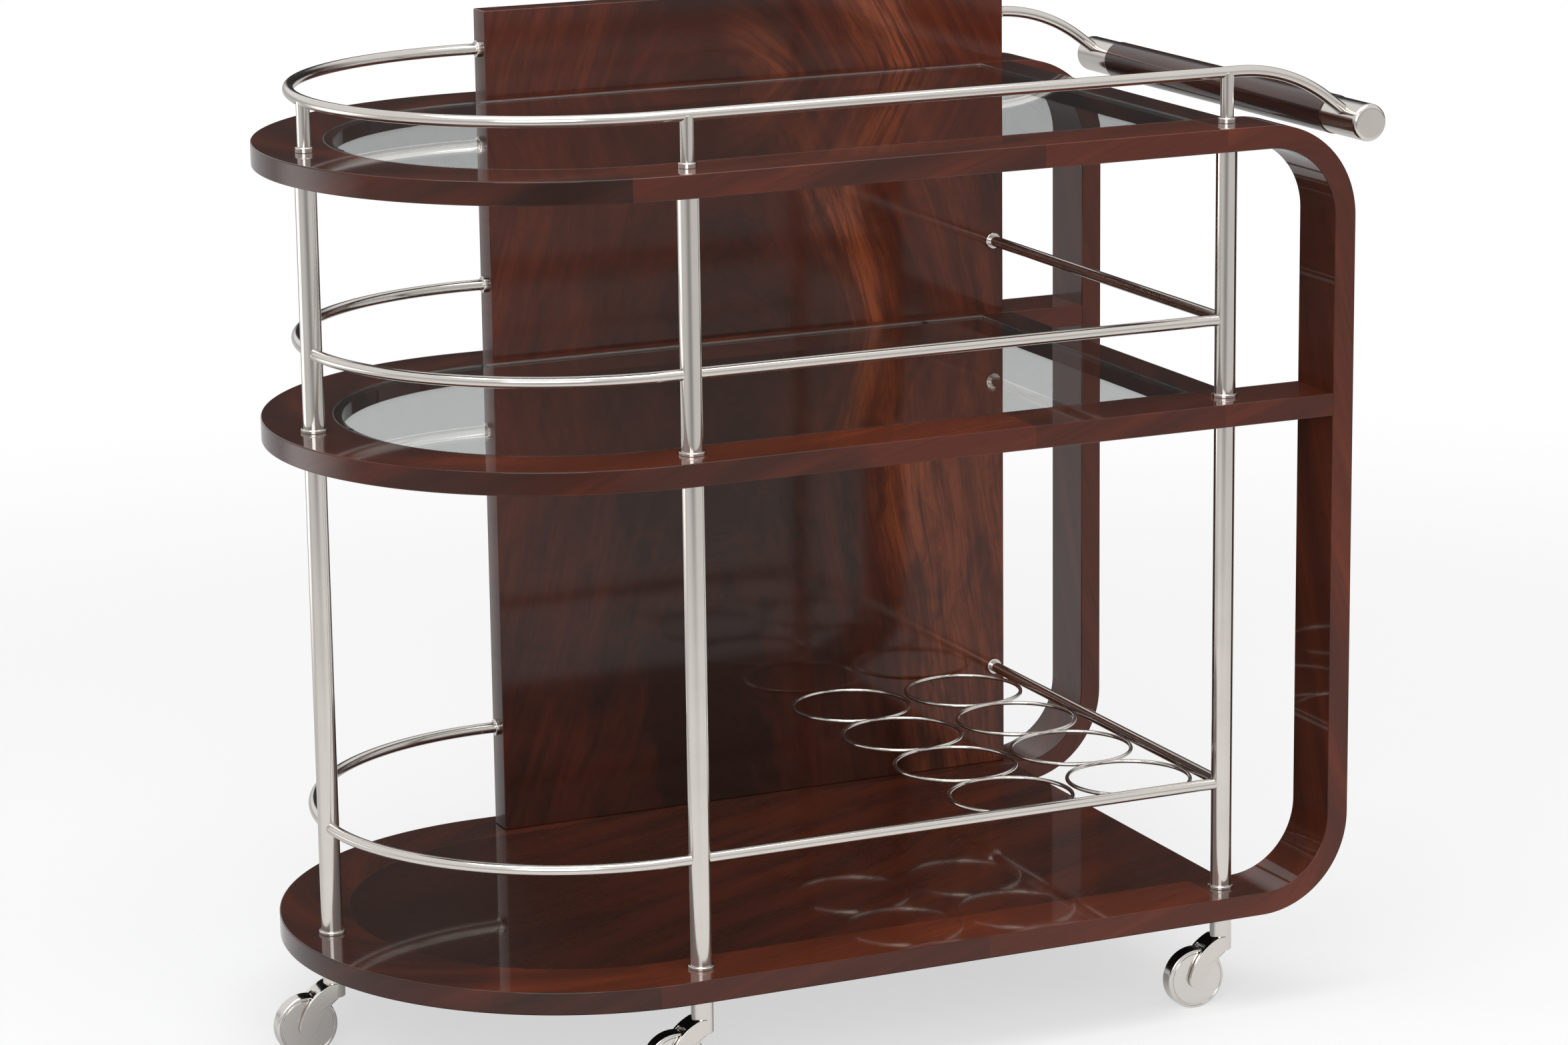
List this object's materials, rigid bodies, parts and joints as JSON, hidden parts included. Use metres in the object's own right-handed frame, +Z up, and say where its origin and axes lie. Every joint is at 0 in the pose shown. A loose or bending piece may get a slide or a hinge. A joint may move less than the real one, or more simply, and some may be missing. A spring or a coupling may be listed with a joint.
{
  "type": "bar cart",
  "caption": "Half-round-ended serving cart: wooden base, framed glass shelves, back panel, metal guard rails, wire bottle rings and a push handle, on swivel casters.",
  "frame": {"origin": "on the floor, under the middle of the cart's outer box", "axes": "+X along the cart towards the push handle, +Y towards the panelled back, +Z up"},
  "size_m": [0.8992, 0.5, 0.8224],
  "materials": {
    "mahogany": "dark red-brown mahogany veneer under high-gloss lacquer",
    "figured_mahogany": "swirl-figured mahogany veneer under high-gloss lacquer",
    "grip_wood": "turned mahogany under gloss lacquer",
    "polished_nickel": "warm polished nickel",
    "wheel_metal": "turned and polished metal",
    "clear_glass": "clear float glass with ground edges",
    "clear_pad": "clear soft pad",
    "dowel_wood": "plain beech",
    "plain_steel": "plain steel"
  },
  "bodies": {
    "cart": {"base_shelf": "mahogany", "mid_frame": "mahogany", "top_frame": "mahogany", "loop_front": "mahogany", "loop_rear": "mahogany", "mid_arm_front": "mahogany", "mid_arm_rear": "mahogany", "mid_cross_bar": "mahogany", "top_cross_bar": "mahogany", "back_panel": "figured_mahogany", "handle_grip": "grip_wood", "post_collars": "polished_nickel", "rail_rosettes": "polished_nickel", "bottle_rings_left": "polished_nickel", "bottle_rings_right": "polished_nickel", "handle_cap_front": "polished_nickel", "handle_cap_rear": "polished_nickel", "top_rail": "polished_nickel", "mid_rail": "polished_nickel", "low_rail": "polished_nickel", "mid_cross_rail": "polished_nickel", "low_cross_rail": "polished_nickel", "rear_handle_rail": "polished_nickel", "lower_post_left": "polished_nickel", "upper_post_left": "polished_nickel", "top_stub_left": "polished_nickel", "lower_post_middle": "polished_nickel", "upper_post_middle": "polished_nickel", "top_stub_middle": "polished_nickel", "lower_post_right": "polished_nickel", "upper_post_right": "polished_nickel", "top_stub_right": "polished_nickel", "mid_glass": "clear_glass", "top_glass": "clear_glass", "glass_pads": "clear_pad", "joint_dowels": "dowel_wood", "panel_screws": "plain_steel", "post_studs": "plain_steel", "handle_rod": "plain_steel", "caster_mount_left": "polished_nickel", "caster_mount_middle_front": "polished_nickel", "caster_mount_right_front": "polished_nickel", "caster_mount_middle_rear": "polished_nickel", "caster_mount_right_rear": "polished_nickel"},
    "caster_left": {"fork_left": "polished_nickel", "axle_left": "plain_steel"},
    "wheel_left": {"wheel_left": "wheel_metal"},
    "caster_middle_front": {"fork_middle_front": "polished_nickel", "axle_middle_front": "plain_steel"},
    "wheel_middle_front": {"wheel_middle_front": "wheel_metal"},
    "caster_right_front": {"fork_right_front": "polished_nickel", "axle_right_front": "plain_steel"},
    "wheel_right_front": {"wheel_right_front": "wheel_metal"},
    "caster_middle_rear": {"fork_middle_rear": "polished_nickel", "axle_middle_rear": "plain_steel"},
    "wheel_middle_rear": {"wheel_middle_rear": "wheel_metal"},
    "caster_right_rear": {"fork_right_rear": "polished_nickel", "axle_right_rear": "plain_steel"},
    "wheel_right_rear": {"wheel_right_rear": "wheel_metal"}
  },
  "joints": [
    {"name": "swivel_left", "type": "hinge", "parent": "cart", "child": "caster_left", "pos_m": [-0.39763, 0, 0.0824], "axis": [0, 0, 1], "continuous": true},
    {"name": "roll_left", "type": "hinge", "parent": "caster_left", "child": "wheel_left", "pos_m": [-0.42363, 0, 0.026], "axis": [0, 1, 0], "continuous": true},
    {"name": "swivel_middle_front", "type": "hinge", "parent": "cart", "child": "caster_middle_front", "pos_m": [-0.16163, -0.218, 0.0824], "axis": [0, 0, 1], "continuous": true},
    {"name": "roll_middle_front", "type": "hinge", "parent": "caster_middle_front", "child": "wheel_middle_front", "pos_m": [-0.18763, -0.218, 0.026], "axis": [0, 1, 0], "continuous": true},
    {"name": "swivel_right_front", "type": "hinge", "parent": "cart", "child": "caster_right_front", "pos_m": [0.31337, -0.218, 0.0824], "axis": [0, 0, 1], "continuous": true},
    {"name": "roll_right_front", "type": "hinge", "parent": "caster_right_front", "child": "wheel_right_front", "pos_m": [0.28737, -0.218, 0.026], "axis": [0, 1, 0], "continuous": true},
    {"name": "swivel_middle_rear", "type": "hinge", "parent": "cart", "child": "caster_middle_rear", "pos_m": [-0.16163, 0.218, 0.0824], "axis": [0, 0, 1], "continuous": true},
    {"name": "roll_middle_rear", "type": "hinge", "parent": "caster_middle_rear", "child": "wheel_middle_rear", "pos_m": [-0.18763, 0.218, 0.026], "axis": [0, 1, 0], "continuous": true},
    {"name": "swivel_right_rear", "type": "hinge", "parent": "cart", "child": "caster_right_rear", "pos_m": [0.31337, 0.218, 0.0824], "axis": [0, 0, 1], "continuous": true},
    {"name": "roll_right_rear", "type": "hinge", "parent": "caster_right_rear", "child": "wheel_right_rear", "pos_m": [0.28737, 0.218, 0.026], "axis": [0, 1, 0], "continuous": true}
  ]
}
